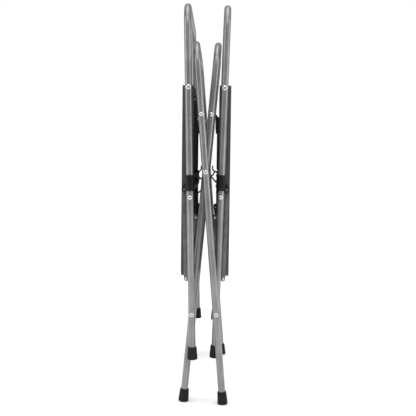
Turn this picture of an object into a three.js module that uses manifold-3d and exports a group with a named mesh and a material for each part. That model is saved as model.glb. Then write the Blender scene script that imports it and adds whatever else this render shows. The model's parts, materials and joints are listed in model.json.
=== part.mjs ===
// Folding stand with two swing-up side trays, folded upright.
// X runs across the folded bundle, Y along the tube hoops (front is -Y), Z is up.
// Two tall hoops (the side frames) carry the trays; two shorter hoops cross between them.
import * as THREE from "three";
import { mergeVertices } from "three/addons/utils/BufferGeometryUtils.js";
import Module from "manifold-3d";

const wasm = await Module();
wasm.setup();

// ---- Driving dimensions, mm and degrees ----
const DEG = Math.PI / 180;

const TUBE_RADIUS = 8;
const TUBE_WALL = 1.2;
const TUBE_SIDES = 10;
const BEND_RADIUS = 50;
const BEND_STEPS = 4;

const OUTER_LAYER = 207; // depth of the outer tube axes from the middle plane
const LAYER_STEP = 17.5; // tube diameter plus a thin washer
const INNER_LAYER = OUTER_LAYER - LAYER_STEP;
const INNER_FACE = INNER_LAYER - TUBE_RADIUS; // inboard face of the inner tubes

const CROSS_LEAN = 4.9; // lean of each crossing frame from upright, folded
const SIDE_LEAN = 1.42; // outward lean of each side frame, folded
const CROSS_TO_SIDE_PIVOT = 325.5; // crossing pivot to the side frame's pivot
const SIDE_PIVOT_TO_FOOT = 208; // that pivot to the underside of the crossing frame's foot
const CROSS_TO_HOOP = 290; // crossing pivot to the middle of the hoop's top bar
const CROSS_TO_ROD = 130; // crossing pivot to the stretcher rod

// Side frame, measured up along the upright from its pivot on the crossing frame
const SIDE_FOOT_DROP = 104;
const SIDE_HOOP = 697.5;
const TRAY_PIVOT = 513.5;
const COLLAR_LOW = 282;
const COLLAR_HIGH = 318;

const FOOT_HEIGHT = 29;
const FOOT_FLOOR = 4;
const FOOT_TOP_RADIUS = 10.2;
const FOOT_BOTTOM_RADIUS = 12;
const FOOT_CHAMFER = 1.5;
const GAP = 0.3;

const PIN_RADIUS = 3;
const HEAD_RADIUS = 5;
const HEAD_HEIGHT = 2.2;
const NUT_RADIUS = 4.4;

const COLLAR_RADIUS = 9.5;
const COLLAR_BORE = 8.4;
const COLLAR_BACK = 180.1; // depth of the collar's inboard face
const COLLAR_INNER_EDGE = 11;
const EAR_THICKNESS = 6;
const EAR_RADIUS = 6;

const LATCH_BAR_START = 7.5; // inboard of the upright's axis
const LATCH_BAR_THICKNESS = 3;
const CLIP_WIDTH = 24; // along the latch bar; each clip sits in the middle of its bar
const CLIP_STRAP = 2.6;
const CLIP_SPINE = 2; // the thinner strap that lies in the bar's recess
const CLIP_FACE = 10.9; // inboard face of the spine, from the upright's axis

// Folding stays: pivot on the collar, joint on the tray, hinged at a knee between them
const STAY_PIVOT = new THREE.Vector2(-13.6, 284.5);
const STAY_TRAY_JOINT = new THREE.Vector2(18, -294);
const LOWER_STAY = 207.2;
const STAY_WIDTH = 11;
const STAY_THICKNESS = 3;
const LOWER_STAY_LAYER = 179.5;
const UPPER_STAY_LAYER = 175.9;
const STAY_PIN_RADIUS = 2.2;
const STAY_HEAD_RADIUS = 3.8;
const RIVET_HEAD = 1.6;
const STAY_CLEARANCE = 0.4;

const TRAY_HALF_WIDTH = 171.9;
const TRAY_TOP = -15; // outer face of the hanging tray, from its pivot
const TRAY_UNDERSIDE = 11.5;
const TRAY_ABOVE_PIVOT = 8;
const TRAY_BELOW_PIVOT = 433;
const TRAY_WALL = 3;
const TRAY_CORNER = 22;
const TRAY_DISH = 2.5; // depth of the dished top inside its raised rim
const TRAY_RIM = 9;

const REST_TOP = -58; // tray rest block, below the tray's pivot
const REST_BOTTOM = -94;
const REST_REACH = 20;
const REST_DEPTH = 18;

// ---- Materials ----
const steel = new THREE.MeshStandardMaterial({ color: 0x9a9c9e, roughness: 0.38, metalness: 0.9 });
const zinc = new THREE.MeshStandardMaterial({ color: 0xd4d6d8, roughness: 0.2, metalness: 1 });
const blackNylon = new THREE.MeshStandardMaterial({ color: 0x141415, roughness: 0.5, metalness: 0 });
const rubber = new THREE.MeshStandardMaterial({ color: 0x101011, roughness: 0.8, metalness: 0 });
const trayPlastic = new THREE.MeshStandardMaterial({ color: 0x3a3b3d, roughness: 0.55, metalness: 0 });
const stayPaint = new THREE.MeshStandardMaterial({ color: 0x4a4b4d, roughness: 0.45, metalness: 0.6 });

// ---- Solids and booleans ----
function solidFrom(geometry) {
  const bare = geometry.index ? geometry.toNonIndexed() : geometry.clone();
  bare.deleteAttribute("normal");
  bare.deleteAttribute("uv");
  const merged = mergeVertices(bare, 1e-4);
  return new wasm.Manifold(
    new wasm.Mesh({
      numProp: 3,
      vertProperties: new Float32Array(merged.attributes.position.array),
      triVerts: new Uint32Array(merged.index.array),
    }),
  );
}

function geometryFrom(solid) {
  const mesh = solid.getMesh();
  const geometry = new THREE.BufferGeometry();
  geometry.setAttribute("position", new THREE.BufferAttribute(new Float32Array(mesh.vertProperties), 3));
  geometry.setIndex(new THREE.BufferAttribute(new Uint32Array(mesh.triVerts), 1));
  geometry.computeVertexNormals();
  return geometry;
}

function cut(geometry, ...cutters) {
  const less = (left, cutter) => left.subtract(solidFrom(cutter));
  return geometryFrom(cutters.reduce(less, solidFrom(geometry)));
}

function join(geometry, ...others) {
  const plus = (sum, other) => sum.add(solidFrom(other));
  return geometryFrom(others.reduce(plus, solidFrom(geometry)));
}

function cylinderAlongY(radius, x, z, yFrom, yTo, sides = 12) {
  const geometry = new THREE.CylinderGeometry(radius, radius, yTo - yFrom, sides);
  return geometry.translate(x, (yFrom + yTo) / 2, z);
}

function box(x0, x1, y0, y1, z0, z1) {
  const geometry = new THREE.BoxGeometry(x1 - x0, y1 - y0, z1 - z0);
  return geometry.translate((x0 + x1) / 2, (y0 + y1) / 2, (z0 + z1) / 2);
}

// A profile drawn across X and Z, given thickness along Y.
function slab(shape, yFrom, yTo, curveSegments = 8) {
  const settings = { depth: yTo - yFrom, bevelEnabled: false, curveSegments };
  return new THREE.ExtrudeGeometry(shape, settings).rotateX(Math.PI / 2).translate(0, yTo, 0);
}

// A turned piece on an axis along Y, from its [radius, depth] steps.
function turned(steps, sides = 12) {
  return new THREE.LatheGeometry(steps.map(([r, y]) => new THREE.Vector2(r, y)), sides);
}

// ---- Bent tubes ----
// A path of given stations, so that straight stretches take one step and bends several.
class StationPath extends THREE.Curve {
  constructor(stations) {
    super();
    this.stations = stations;
  }
  at(u) {
    return this.stations[Math.round(u * (this.stations.length - 1))];
  }
  getPoint(u) {
    return this.at(u).point.clone();
  }
  getPointAt(u) {
    return this.at(u).point.clone();
  }
  getTangentAt(u) {
    return this.at(u).tangent.clone();
  }
}

// An inverted U in the YZ plane: up the front leg, over the top and down the back leg.
function hoopPath(halfDepth, legEnd, top) {
  const stations = [];
  const add = (y, z, angle) =>
    stations.push({
      point: new THREE.Vector3(0, y, z),
      tangent: new THREE.Vector3(0, Math.sin(angle), Math.cos(angle)),
    });
  const bendY = halfDepth - BEND_RADIUS;
  const bendZ = top - BEND_RADIUS;
  add(-halfDepth, legEnd, 0);
  for (let i = 0; i <= BEND_STEPS; i++) {
    const turn = ((i / BEND_STEPS) * Math.PI) / 2;
    add(-bendY - BEND_RADIUS * Math.cos(turn), bendZ + BEND_RADIUS * Math.sin(turn), turn);
  }
  for (let i = 0; i <= BEND_STEPS; i++) {
    const turn = ((i / BEND_STEPS) * Math.PI) / 2;
    add(bendY + BEND_RADIUS * Math.sin(turn), bendZ + BEND_RADIUS * Math.cos(turn), Math.PI / 2 + turn);
  }
  add(halfDepth, legEnd, Math.PI);
  return new StationPath(stations);
}

function ring(outer, inner, sides) {
  const loop = (radius) =>
    Array.from({ length: sides }, (_, i) => {
      const angle = ((i + 0.5) / sides) * 2 * Math.PI;
      return new THREE.Vector2(radius * Math.cos(angle), radius * Math.sin(angle));
    });
  const shape = new THREE.Shape(loop(outer));
  shape.holes.push(new THREE.Path(loop(inner).reverse()));
  return shape;
}

// A hoop of hollow tube with pin holes through both legs at the given heights.
function hoopTube(halfDepth, legEnd, top, pinHeights) {
  const path = hoopPath(halfDepth, legEnd, top);
  const section = ring(TUBE_RADIUS, TUBE_RADIUS - TUBE_WALL, TUBE_SIDES);
  const steps = path.stations.length - 1;
  const tube = new THREE.ExtrudeGeometry(section, { steps, extrudePath: path, bevelEnabled: false });
  const reach = halfDepth + 2 * TUBE_RADIUS;
  const drills = pinHeights.map((z) => cylinderAlongY(PIN_RADIUS + 2 * GAP, 0, z, -reach, reach, 8));
  return cut(tube, ...drills);
}

// ---- Small pieces ----
// Rubber cup on a leg end: z = 0 is its underside.
function footGeometry() {
  const bore = TUBE_RADIUS + 2 * GAP;
  const profile = [
    [0, 0],
    [FOOT_BOTTOM_RADIUS - FOOT_CHAMFER, 0],
    [FOOT_BOTTOM_RADIUS, FOOT_CHAMFER],
    [FOOT_BOTTOM_RADIUS - 0.4, 7],
    [FOOT_TOP_RADIUS, FOOT_HEIGHT],
    [bore, FOOT_HEIGHT],
    [bore, FOOT_FLOOR - GAP],
    [0, FOOT_FLOOR - GAP],
  ];
  return turned(profile).rotateX(Math.PI / 2);
}

// Pin through two tubes side by side, with a low dome outside and a flat head inside.
function pivotPin(outerFace, innerFace) {
  return turned([
    [0, -outerFace - HEAD_HEIGHT],
    [HEAD_RADIUS * 0.6, -outerFace - HEAD_HEIGHT * 0.85],
    [HEAD_RADIUS, -outerFace - GAP],
    [PIN_RADIUS, -outerFace - GAP],
    [PIN_RADIUS, -innerFace + GAP],
    [HEAD_RADIUS, -innerFace + GAP],
    [HEAD_RADIUS, -innerFace + 1.6],
    [0, -innerFace + 1.6],
  ]);
}

// Shouldered bolt that carries a tray between the uprights.
function trayBolt(layer) {
  const outerFace = layer + TUBE_RADIUS;
  const innerFace = layer - TUBE_RADIUS;
  const trayFace = TRAY_HALF_WIDTH;
  return turned([
    [0, -outerFace - HEAD_HEIGHT],
    [HEAD_RADIUS * 0.65, -outerFace - HEAD_HEIGHT * 0.85],
    [HEAD_RADIUS + 0.7, -outerFace - GAP],
    [PIN_RADIUS, -outerFace - GAP],
    [PIN_RADIUS, -innerFace + GAP],
    [HEAD_RADIUS, -innerFace + GAP],
    [HEAD_RADIUS, -trayFace - GAP],
    [PIN_RADIUS, -trayFace - GAP],
    [PIN_RADIUS, -trayFace + TRAY_WALL + GAP],
    [NUT_RADIUS, -trayFace + TRAY_WALL + GAP],
    [NUT_RADIUS, -trayFace + TRAY_WALL + 3],
    [0, -trayFace + TRAY_WALL + 3],
  ]);
}

// Stretcher rod between the legs of a crossing frame, with riveted-over ends outside them.
function stretcherRod(layer) {
  const outerFace = layer + TUBE_RADIUS;
  const innerFace = layer - TUBE_RADIUS;
  const half = [
    [HEAD_RADIUS * 0.6, outerFace + HEAD_HEIGHT * 0.85],
    [HEAD_RADIUS, outerFace + GAP],
    [PIN_RADIUS, outerFace + GAP],
    [PIN_RADIUS, innerFace - GAP],
    [HEAD_RADIUS, innerFace - GAP],
  ];
  const front = half.map(([r, y]) => [r, -y]);
  const back = [...half].reverse();
  return turned([[0, -outerFace - HEAD_HEIGHT], ...front, ...back, [0, outerFace + HEAD_HEIGHT]]);
}

// Sleeve round the upright with a block behind it for the latch bar and an ear for the stay.
function collarGeometry(layer) {
  const sleeve = new THREE.ExtrudeGeometry(ring(COLLAR_RADIUS, COLLAR_BORE, 16), {
    depth: COLLAR_HIGH - COLLAR_LOW,
    bevelEnabled: false,
  }).translate(0, -layer, COLLAR_LOW);
  const block = box(-COLLAR_RADIUS, COLLAR_INNER_EDGE, -layer, -COLLAR_BACK, COLLAR_LOW, COLLAR_HIGH);
  const ear = new THREE.Shape();
  ear.moveTo(0, COLLAR_HIGH);
  ear.lineTo(STAY_PIVOT.x, STAY_PIVOT.y + EAR_RADIUS + 6);
  ear.lineTo(STAY_PIVOT.x - EAR_RADIUS, STAY_PIVOT.y);
  ear.absarc(STAY_PIVOT.x, STAY_PIVOT.y, EAR_RADIUS, Math.PI, 1.5 * Math.PI, false);
  ear.lineTo(0, STAY_PIVOT.y - EAR_RADIUS);
  ear.closePath();
  const earPlate = slab(ear, -COLLAR_BACK - EAR_THICKNESS, -COLLAR_BACK);
  const bore = new THREE.CylinderGeometry(COLLAR_BORE, COLLAR_BORE, 200, 16).rotateX(Math.PI / 2);
  bore.rotateZ(Math.PI / 16).translate(0, -layer, (COLLAR_LOW + COLLAR_HIGH) / 2);
  const pinHole = cylinderAlongY(STAY_PIN_RADIUS + GAP, STAY_PIVOT.x, STAY_PIVOT.y, -230, -100);
  return cut(join(sleeve, block, earPlate), bore, pinHole);
}

// Flat bar between the collars, with a recess in the middle of its inboard face for the clip's spine.
function latchBar() {
  const end = COLLAR_BACK - GAP;
  const face = LATCH_BAR_START + LATCH_BAR_THICKNESS;
  const bar = box(LATCH_BAR_START, face, -end, end, COLLAR_LOW, COLLAR_HIGH);
  const side = CLIP_WIDTH / 2 + GAP;
  const recess = box(CLIP_FACE - CLIP_SPINE - GAP, face + 1, -side, side, COLLAR_LOW - 1, COLLAR_HIGH + 1);
  return cut(bar, recess);
}

// The outline of a strap of even thickness that follows a line of points.
function strap(points, thickness) {
  const side = (sign) =>
    points.map((point, i) => {
      const before = points[Math.max(i - 1, 0)];
      const after = points[Math.min(i + 1, points.length - 1)];
      const along = after.clone().sub(before).normalize();
      return new THREE.Vector2(-along.y, along.x).multiplyScalar((sign * thickness) / 2).add(point);
    });
  return new THREE.Shape([...side(1), ...side(-1).reverse()]);
}

// Snap clip in the recess of its bar: a spine, a lip that curls up and a round seat for the other
// frame's top bar. The left clip's seat runs on into a closed loop; the right one has a straight prop.
// Points are x inboard of the upright and z above its lower pivot.
function clipGeometry(looped) {
  const line = (...points) => points.map(([x, z]) => new THREE.Vector2(x, z));
  const curve = (...points) => new THREE.SplineCurve(line(...points)).getPoints(10);
  const base = CLIP_FACE - CLIP_SPINE / 2;
  const lip = curve([base, 318.5], [17, 321], [21.2, 325.5], [21.8, 334.5]);
  const leftArms = [
    curve([17, 321], [14.2, 314.5], [14.8, 307], [18.4, 302.8]),
    curve([base, 292], [13, 299.6], [18.4, 302.8], [24.2, 297.5], [24, 285], [19.6, 271.3], [base, 264.8]),
  ];
  const rightArms = [
    curve([16.4, 321], [17.8, 316], [21, 311.3], [25.8, 307.4]),
    line([25.8, 308.2], [18.4, 301.5], [base, 291.5]),
  ];
  const straps = [lip, ...(looped ? leftArms : rightArms)].map((points) => strap(points, CLIP_STRAP));
  const [first, ...rest] = [strap(line([base, 263.5], [base, 320]), CLIP_SPINE), ...straps].map((shape) =>
    slab(shape, -CLIP_WIDTH / 2, CLIP_WIDTH / 2),
  );
  return join(first, ...rest);
}

// ---- Stays ----
// In a side frame's own plane: x inboard of the upright, y up from its lower pivot.
const trayPivot = new THREE.Vector2(0, TRAY_PIVOT);
const foldedJoint = STAY_TRAY_JOINT.clone()
  .rotateAround(new THREE.Vector2(), -SIDE_LEAN * DEG)
  .add(trayPivot);
const openJoint = new THREE.Vector2(STAY_TRAY_JOINT.y, -STAY_TRAY_JOINT.x).add(trayPivot);
const UPPER_STAY = openJoint.distanceTo(STAY_PIVOT) - LOWER_STAY;

// The knee hangs where the two stay lengths meet, on the outboard side.
function kneePoint() {
  const span = foldedJoint.clone().sub(STAY_PIVOT);
  const distance = span.length();
  const along = (LOWER_STAY ** 2 - UPPER_STAY ** 2 + distance ** 2) / (2 * distance);
  const off = Math.sqrt(LOWER_STAY ** 2 - along ** 2);
  const unit = span.divideScalar(distance);
  const outboard = new THREE.Vector2(unit.y, -unit.x);
  return STAY_PIVOT.clone().addScaledVector(unit, along).addScaledVector(outboard, off);
}
const knee = kneePoint();

// Angle about Y that turns a bar hanging straight down onto the line from one point to another.
function swing(from, to) {
  return Math.atan2(from.x - to.x, from.y - to.y);
}

// Flat bar with round ends that hangs down from its own pivot at the origin.
function stayBar(length, layer, holes) {
  const half = STAY_WIDTH / 2;
  const outline = new THREE.Shape();
  outline.absarc(0, 0, half, 0, Math.PI, false);
  outline.absarc(0, -length, half, Math.PI, 2 * Math.PI, false);
  outline.closePath();
  const bar = slab(outline, -layer, -layer + STAY_THICKNESS, 5);
  const drill = (z) => cylinderAlongY(STAY_PIN_RADIUS + STAY_CLEARANCE, 0, z, -layer - 5, -layer + 10, 8);
  return cut(bar, ...holes.map(drill));
}

// Rivet between two depths. A headed one has a dome in front, and a clenched one a head behind.
function stayRivet(yFrom, yTo, headed, clenched) {
  const head = [
    [STAY_HEAD_RADIUS * 0.7, yFrom],
    [STAY_HEAD_RADIUS, yFrom + RIVET_HEAD],
    [STAY_PIN_RADIUS, yFrom + RIVET_HEAD],
  ];
  const tail = [
    [STAY_PIN_RADIUS, yTo - RIVET_HEAD],
    [STAY_HEAD_RADIUS, yTo - RIVET_HEAD],
    [STAY_HEAD_RADIUS * 0.8, yTo],
  ];
  const front = headed ? head : [[STAY_PIN_RADIUS, yFrom]];
  const back = clenched ? tail : [[STAY_PIN_RADIUS, yTo]];
  return turned([[0, yFrom], ...front, ...back, [0, yTo]], 10);
}

// ---- Trays ----
// A hanging tray: x is its thickness, from the outer (serving) face to the open underside.
function trayGeometry() {
  const outline = (inset) => {
    const half = TRAY_HALF_WIDTH - inset;
    const top = TRAY_ABOVE_PIVOT - inset;
    const bottom = -TRAY_BELOW_PIVOT + inset;
    const r = Math.max(TRAY_CORNER - inset, 2);
    const square = Math.max(3 - inset, 0.5);
    const shape = new THREE.Shape();
    shape.moveTo(-half + square, top);
    shape.lineTo(half - square, top);
    shape.lineTo(half, top - square);
    shape.lineTo(half, bottom + r);
    shape.absarc(half - r, bottom + r, r, 0, -Math.PI / 2, true);
    shape.lineTo(-half + r, bottom);
    shape.absarc(-half + r, bottom + r, r, -Math.PI / 2, -Math.PI, true);
    shape.lineTo(-half, top - square);
    shape.closePath();
    return shape;
  };
  // The outline lies across Y and Z, and the thickness runs along X.
  const layer = (inset, x0, x1) =>
    new THREE.ExtrudeGeometry(outline(inset), { depth: x1 - x0, bevelEnabled: false, curveSegments: 4 })
      .rotateX(Math.PI / 2)
      .rotateZ(Math.PI / 2)
      .translate(x0, 0, 0);
  const body = layer(0, TRAY_TOP, TRAY_UNDERSIDE);
  const dish = layer(TRAY_RIM, TRAY_TOP - 1, TRAY_TOP + TRAY_DISH);
  const hollow = layer(TRAY_WALL, TRAY_TOP + TRAY_DISH + TRAY_WALL, TRAY_UNDERSIDE + 1);
  // Lugs inside the side walls where the stays are fastened, which reach past the rim.
  const joint = STAY_TRAY_JOINT;
  const lug = (y0, y1) => box(0, joint.x + 5.5, y0, y1, joint.y - 12, joint.y + 12);
  const wallInside = TRAY_HALF_WIDTH - 2 * TRAY_WALL;
  const frontLug = lug(-TRAY_HALF_WIDTH, -wallInside);
  const backLug = lug(wallInside, TRAY_HALF_WIDTH);
  const reach = TRAY_HALF_WIDTH + 5;
  const pivotHole = cylinderAlongY(PIN_RADIUS + GAP, 0, 0, -reach, reach);
  const jointHole = cylinderAlongY(STAY_PIN_RADIUS + GAP, joint.x, joint.y, -reach, reach);
  return cut(join(cut(body, dish, hollow), frontLug, backLug), pivotHole, jointHole);
}

// Block under the tray that comes to rest by the stretcher rod when all is folded.
function trayRest() {
  const shape = new THREE.Shape();
  shape.moveTo(TRAY_UNDERSIDE + GAP, REST_TOP - 9);
  shape.lineTo(REST_REACH - 2, REST_TOP);
  shape.lineTo(REST_REACH, REST_TOP - 2);
  shape.lineTo(REST_REACH, REST_BOTTOM + 2);
  shape.lineTo(REST_REACH - 2, REST_BOTTOM);
  shape.lineTo(TRAY_UNDERSIDE + GAP, REST_BOTTOM);
  shape.closePath();
  return slab(shape, -TRAY_HALF_WIDTH, -TRAY_HALF_WIDTH + REST_DEPTH);
}

// ---- Assembly ----
function addMesh(group, name, geometry, material) {
  const mesh = new THREE.Mesh(geometry, material);
  mesh.name = name;
  group.add(mesh);
  return mesh;
}

// A front piece and its mirror image at the back.
function addPair(group, name, geometry, material) {
  addMesh(group, name + "_front", geometry, material);
  addMesh(group, name + "_back", geometry, material).scale.y = -1;
}

function addFeet(group, name, layer, underside) {
  const geometry = footGeometry().translate(0, -layer, underside);
  addPair(group, name, geometry, rubber);
}

// One side frame with its tray and stays, in the frame of its lower pivot. X points inboard.
function sideFrame(side, layer) {
  const frame = new THREE.Group();
  const legEnd = -SIDE_FOOT_DROP + FOOT_FLOOR;
  const tube = hoopTube(layer, legEnd, SIDE_HOOP, [0, TRAY_PIVOT]);
  addMesh(frame, side + "_frame_tube", tube, steel);
  addFeet(frame, side + "_frame_foot", layer, -SIDE_FOOT_DROP);
  addPair(frame, side + "_collar", collarGeometry(layer), blackNylon);
  addMesh(frame, side + "_latch_bar", latchBar(), blackNylon);
  addMesh(frame, side + "_snap_clip", clipGeometry(side === "left"), blackNylon);
  addPair(frame, side + "_lower_pivot", pivotPin(OUTER_LAYER + TUBE_RADIUS, INNER_FACE), zinc);
  addPair(frame, side + "_tray_bolt", trayBolt(layer).translate(0, 0, TRAY_PIVOT), zinc);
  const earFront = -COLLAR_BACK - EAR_THICKNESS;
  const lowerStayBack = -LOWER_STAY_LAYER + STAY_THICKNESS;
  const stayPivotRivet = stayRivet(earFront - 2.2, lowerStayBack + 2, true, true);
  stayPivotRivet.translate(STAY_PIVOT.x, 0, STAY_PIVOT.y);
  addPair(frame, side + "_stay_pivot", stayPivotRivet, zinc);

  const tray = new THREE.Group();
  tray.position.z = TRAY_PIVOT;
  tray.rotation.y = SIDE_LEAN * DEG;
  addMesh(tray, side + "_tray", trayGeometry(), trayPlastic);
  addPair(tray, side + "_tray_rest", trayRest(), blackNylon);
  const jointTail = -TRAY_HALF_WIDTH + 2 * TRAY_WALL + 2;
  const jointRivet = stayRivet(-UPPER_STAY_LAYER - 0.1, jointTail, false, true);
  jointRivet.translate(STAY_TRAY_JOINT.x, 0, STAY_TRAY_JOINT.y);
  addPair(tray, side + "_stay_joint", jointRivet, zinc);
  frame.add(tray);

  const lowerStay = new THREE.Group();
  lowerStay.position.set(STAY_PIVOT.x, 0, STAY_PIVOT.y);
  lowerStay.rotation.y = swing(STAY_PIVOT, knee);
  const lowerBar = stayBar(LOWER_STAY, LOWER_STAY_LAYER, [0, -LOWER_STAY]);
  addPair(lowerStay, side + "_lower_stay", lowerBar, stayPaint);
  const kneeRivet = stayRivet(-LOWER_STAY_LAYER - 1.9, lowerStayBack, true, false);
  addPair(lowerStay, side + "_knee_rivet", kneeRivet.translate(0, 0, -LOWER_STAY), zinc);
  frame.add(lowerStay);

  const upperStay = new THREE.Group();
  upperStay.position.set(foldedJoint.x, 0, foldedJoint.y);
  upperStay.rotation.y = swing(foldedJoint, knee);
  addPair(upperStay, side + "_upper_stay", stayBar(UPPER_STAY, UPPER_STAY_LAYER, [0]), stayPaint);
  frame.add(upperStay);
  return frame;
}

// One crossing frame, in the frame of the crossing pivot.
function crossFrame(name, layer) {
  const frame = new THREE.Group();
  const underside = -CROSS_TO_SIDE_PIVOT - SIDE_PIVOT_TO_FOOT;
  const pins = [-CROSS_TO_SIDE_PIVOT, 0, CROSS_TO_ROD];
  addMesh(frame, name + "_tube", hoopTube(layer, underside + FOOT_FLOOR, CROSS_TO_HOOP, pins), steel);
  addFeet(frame, name + "_foot", layer, underside);
  addMesh(frame, name + "_stretcher_rod", stretcherRod(layer).translate(0, 0, CROSS_TO_ROD), zinc);
  return frame;
}

const crossHeight =
  (CROSS_TO_SIDE_PIVOT + SIDE_PIVOT_TO_FOOT) * Math.cos(CROSS_LEAN * DEG) +
  (FOOT_BOTTOM_RADIUS - FOOT_CHAMFER) * Math.sin(CROSS_LEAN * DEG);
const pivotX = -CROSS_TO_SIDE_PIVOT * Math.sin(CROSS_LEAN * DEG);
const pivotZ = crossHeight - CROSS_TO_SIDE_PIVOT * Math.cos(CROSS_LEAN * DEG);

// The left half; the right half is its mirror image, with the two tube layers changed over.
function half(side, sideLayer, crossName, crossLayer) {
  const group = new THREE.Group();
  const frame = sideFrame(side, sideLayer);
  frame.position.set(pivotX, 0, pivotZ);
  frame.rotation.y = -SIDE_LEAN * DEG;
  const cross = crossFrame(crossName, crossLayer);
  cross.position.z = crossHeight;
  cross.rotation.y = CROSS_LEAN * DEG;
  group.add(frame, cross);
  return group;
}

const stand = new THREE.Group();
stand.add(half("left", OUTER_LAYER, "inner_cross_frame", INNER_LAYER));
const right = half("right", INNER_LAYER, "outer_cross_frame", OUTER_LAYER);
right.scale.x = -1;
stand.add(right);
const crossing = new THREE.Group();
crossing.position.z = crossHeight;
addPair(crossing, "crossing_pivot", pivotPin(OUTER_LAYER + TUBE_RADIUS, INNER_FACE), zinc);
stand.add(crossing);

export default stand;
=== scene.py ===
# Folding stand with two swing-up side trays, folded upright: fine meshes and finishes round the CAD frame.
# Every piece is modelled in millimetres beside its own pivot, then set in its place in the row frame.
import json
import math

import bpy
from mathutils import Matrix, Vector


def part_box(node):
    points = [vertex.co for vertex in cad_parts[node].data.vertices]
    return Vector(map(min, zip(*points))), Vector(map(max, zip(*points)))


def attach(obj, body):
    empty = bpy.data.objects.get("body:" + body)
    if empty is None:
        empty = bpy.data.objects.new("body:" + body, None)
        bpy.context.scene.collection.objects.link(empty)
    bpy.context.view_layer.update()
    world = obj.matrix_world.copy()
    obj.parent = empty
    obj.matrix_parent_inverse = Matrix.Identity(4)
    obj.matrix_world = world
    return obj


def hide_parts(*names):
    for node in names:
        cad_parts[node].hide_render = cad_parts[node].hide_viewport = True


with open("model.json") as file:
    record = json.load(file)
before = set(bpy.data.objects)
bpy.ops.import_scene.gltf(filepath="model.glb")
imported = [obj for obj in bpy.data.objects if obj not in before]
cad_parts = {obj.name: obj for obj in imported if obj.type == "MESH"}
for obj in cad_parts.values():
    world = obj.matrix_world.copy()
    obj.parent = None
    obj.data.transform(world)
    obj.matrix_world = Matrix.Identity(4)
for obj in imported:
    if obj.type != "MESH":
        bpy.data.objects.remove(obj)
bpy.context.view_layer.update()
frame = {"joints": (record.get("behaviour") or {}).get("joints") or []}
bpy.ops.object.select_all(action="DESELECT")

MM = 0.001
joints = {joint["name"]: joint for joint in frame["joints"]}

# ---- Sizes, millimetres ----
TUBE_RADIUS = 8
TUBE_WALL = 1.2
TUBE_FACETS = 48
BEND_RADIUS = 50
BEND_STEPS = 20

SIDE_FOOT = -104  # heights along a leg, from the pivot that joins side and crossing frame
SIDE_TOP = 697.5
CROSS_FOOT = -208
CROSS_TOP_ABOVE_CROSSING = 290
ROD_ABOVE_CROSSING = 130

FOOT_HEIGHT = 29
FOOT_FLOOR = 4
FOOT_TOP_RADIUS = 10.2
FOOT_BOTTOM_RADIUS = 12
FOOT_BORE = 8.1

PIN_RADIUS = 3
HEAD_RADIUS = 5
HEAD_HEIGHT = 2.2

COLLAR_LOW = 282
COLLAR_HIGH = 318
COLLAR_RADIUS = 9.5
COLLAR_BORE = 8.1
COLLAR_BACK = 180.1
COLLAR_INNER_EDGE = 11
COLLAR_RIVET = 267
EAR_THICKNESS = 6
EAR_RADIUS = 6

LATCH_BAR_START = 7.5
LATCH_BAR_THICKNESS = 3
CLIP_WIDTH = 24
CLIP_STRAP = 3.2
CLIP_SPINE = 2
CLIP_FACE = 10.9
CLIP_RIVETS = (285.5, 311)
COLLAR_STUDS = (291, 315.5)

STAY_WIDTH = 11
STAY_THICKNESS = 3
STAY_PIN_RADIUS = 2.2
STAY_HEAD_RADIUS = 3.8
LOWER_STAY_LAYER = 179.5
UPPER_STAY_LAYER = 175.9

TRAY_HALF_WIDTH = 171.9
TRAY_OUTER = -15
TRAY_UNDERSIDE = 11.5
TRAY_TOP = 8
TRAY_BOTTOM = -433
TRAY_CORNER = 22
TRAY_TOP_CORNER = 3
TRAY_WALL = 3
TRAY_DISH = 2.5
TRAY_RIM = 9
RIB_HEIGHT = 9
RIB_HALF_WIDTH = 1.2
SPINE_DEPTH = 16.5  # two deep ribs that stiffen each tray, each in two lengths
SPINE_FROM_MIDDLE = 65
SPINE_SPANS = ((-425, -238), (-190, -58))
SPINE_HALF_WIDTH = 1.5
LUG_HALF_HEIGHT = 8
LUG_PAST_JOINT = 5.5
RIB_COLUMNS = 5
RIB_ROWS = 7

REST_TOP = -58
REST_BOTTOM = -94
REST_REACH = 20
REST_DEPTH = 18


# ---- Places, from the frame ----
def pin(joint):
    """The point that a joint turns about, in metres."""
    return Vector(joints[joint]["pos_m"])


def layer_of(foot):
    """How far in front of the middle plane a front foot's leg stands, in millimetres."""
    low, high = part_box(foot)
    return -(low.y + high.y) / 2 / MM


def beside(origin, top, inboard):
    """From millimetres beside a leg to the row frame: z up the leg, y to the back and x inboard."""
    up = (top - origin).normalized()
    across = Vector((up.z, 0, -up.x)) * inboard
    turn = Matrix((across, (0, 1, 0), up)).transposed().to_4x4()
    return Matrix.Translation(origin) @ turn


OUTER_LAYER = layer_of("left_frame_foot_front")
INNER_LAYER = layer_of("right_frame_foot_front")
INBOARD = {"left": 1, "right": -1}
SIDE_LAYER = {"left": OUTER_LAYER, "right": INNER_LAYER}
LOWER_PIVOT = {"left": pin("unfold"), "right": pin("right_frame_turn")}
TRAY_PIVOT = {side: pin(side + "_tray_swing") for side in INBOARD}
STAY_PIVOT = {side: pin(side + "_lower_stay_turn") for side in INBOARD}
STAY_JOINT = {side: pin(side + "_upper_stay_turn") for side in INBOARD}
CROSSING = pin("crossing")
CROSSING_HEIGHT = (CROSSING - LOWER_PIVOT["left"]).length / MM
TRAY_PIVOT_HEIGHT = (TRAY_PIVOT["left"] - LOWER_PIVOT["left"]).length / MM
CROSS_TOP = CROSSING_HEIGHT + CROSS_TOP_ABOVE_CROSSING
SIDE = {s: beside(LOWER_PIVOT[s], TRAY_PIVOT[s], INBOARD[s]) for s in INBOARD}
CROSS_SIDE = {"inner": "left", "outer": "right"}
CROSS = {n: beside(LOWER_PIVOT[s], CROSSING, INBOARD[s]) for n, s in CROSS_SIDE.items()}
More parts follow.
